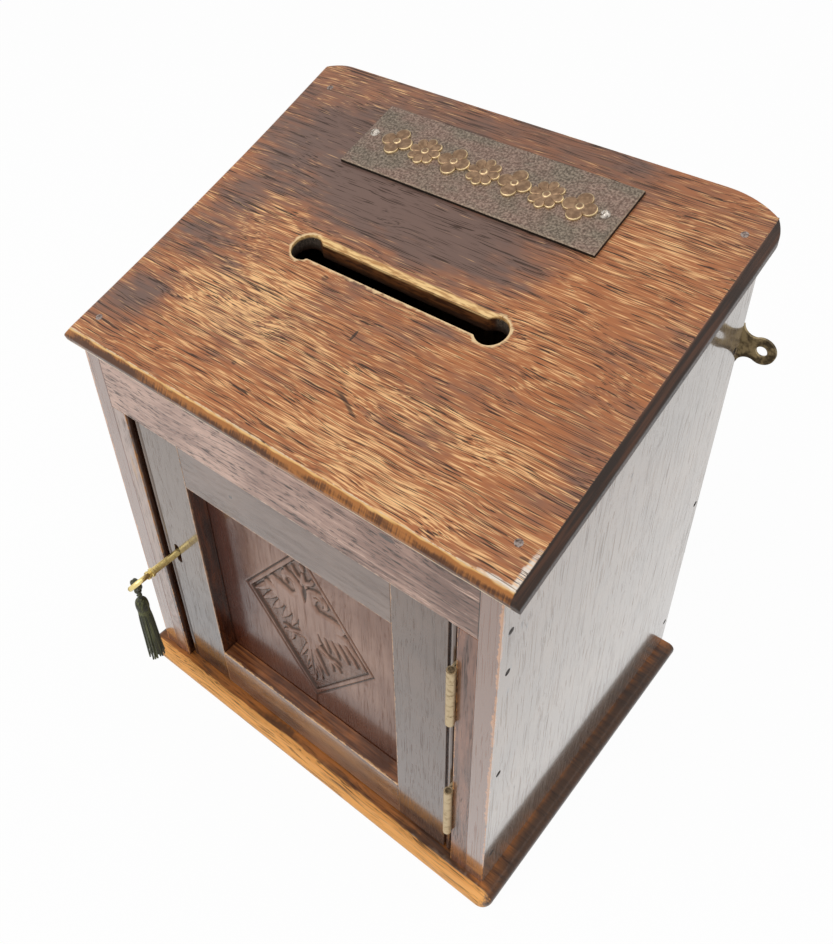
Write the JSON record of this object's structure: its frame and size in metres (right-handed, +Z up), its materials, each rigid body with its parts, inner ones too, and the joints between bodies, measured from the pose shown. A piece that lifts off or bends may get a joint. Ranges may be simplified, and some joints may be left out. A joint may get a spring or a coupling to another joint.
{
  "type": "desk letter box",
  "caption": "Wall-hung oak letter box with a sloping slotted lid, a carved panel door on brass butt hinges, a cupboard lock and a key with a tassel.",
  "frame": {"origin": "middle of the case on the base board's underside", "axes": "+X to the right of a person facing the door, +Y from the door to the back board, +Z up"},
  "size_m": [0.2694, 0.217, 0.3029],
  "materials": {
    "top_wood": "worn waxed oak",
    "case_wood": "varnished oak",
    "front_wood": "glossy varnished oak",
    "carved_wood": "glossy varnished oak",
    "plate_metal": "patinated",
    "old_brass": "dark patina",
    "bright_brass": "worn",
    "lock_brass": "satin",
    "iron": "dark",
    "silk": "silk cord and yarn"
  },
  "bodies": {
    "carcase": {"base_board": "case_wood", "left_side": "case_wood", "right_side": "case_wood", "back_board": "case_wood", "front_rail": "front_wood", "left_jamb": "front_wood", "right_jamb": "front_wood", "door_stop": "case_wood", "lid": "top_wood", "name_plate": "plate_metal", "name_plate_screws": "bright_brass", "left_mirror_plate": "old_brass", "right_mirror_plate": "old_brass", "mirror_plate_screws": "iron", "lid_nails": "iron", "side_nails": "iron", "back_nails": "iron", "base_nails": "iron", "upper_hinge_jamb_leaf": "bright_brass", "lower_hinge_jamb_leaf": "bright_brass", "upper_hinge_pin": "iron", "lower_hinge_pin": "iron", "jamb_leaf_screws": "iron"},
    "door": {"door_lock_stile": "front_wood", "door_hinge_stile": "front_wood", "door_top_rail": "front_wood", "door_bottom_rail": "front_wood", "door_panel": "carved_wood", "upper_hinge_door_leaf": "bright_brass", "lower_hinge_door_leaf": "bright_brass", "door_leaf_screws": "iron", "lock_case": "iron", "lock_cap": "lock_brass", "lock_screws": "iron"},
    "key": {"key": "bright_brass"},
    "bolt": {"lock_bolt": "lock_brass", "bolt_spring": "lock_brass"},
    "loop": {"tassel_loop": "silk"},
    "tassel": {"tassel_neck": "silk", "tassel_head": "silk", "tassel_skirt": "silk"}
  },
  "joints": [
    {"name": "door_swing", "type": "hinge", "parent": "carcase", "child": "door", "pos_m": [0.0968, -0.09445, 0.1072], "axis": [0, 0, 1], "range_deg": [0, 170]},
    {"name": "key_turn", "type": "hinge", "parent": "door", "child": "key", "pos_m": [-0.0864, -0.08275, 0.1078], "axis": [0, 1, 0], "range_deg": [-70, 0]},
    {"name": "bolt_throw", "type": "slide", "parent": "door", "child": "bolt", "axis": [-1, 0, 0], "range_m": [0, 0.0064]},
    {"name": "loop_hang", "type": "hinge", "parent": "key", "child": "loop", "pos_m": [-0.09038, -0.11615, 0.10279], "axis": [0, 1, 0], "range_deg": [-20, 90]},
    {"name": "tassel_sway", "type": "hinge", "parent": "loop", "child": "tassel", "pos_m": [-0.09038, -0.11615, 0.09824], "axis": [1, 0, 0], "range_deg": [-40, 15]}
  ],
  "couplings": [
    {"joint": "bolt_throw", "follows": "key_turn", "m_per_rad": -0.0052384}
  ]
}
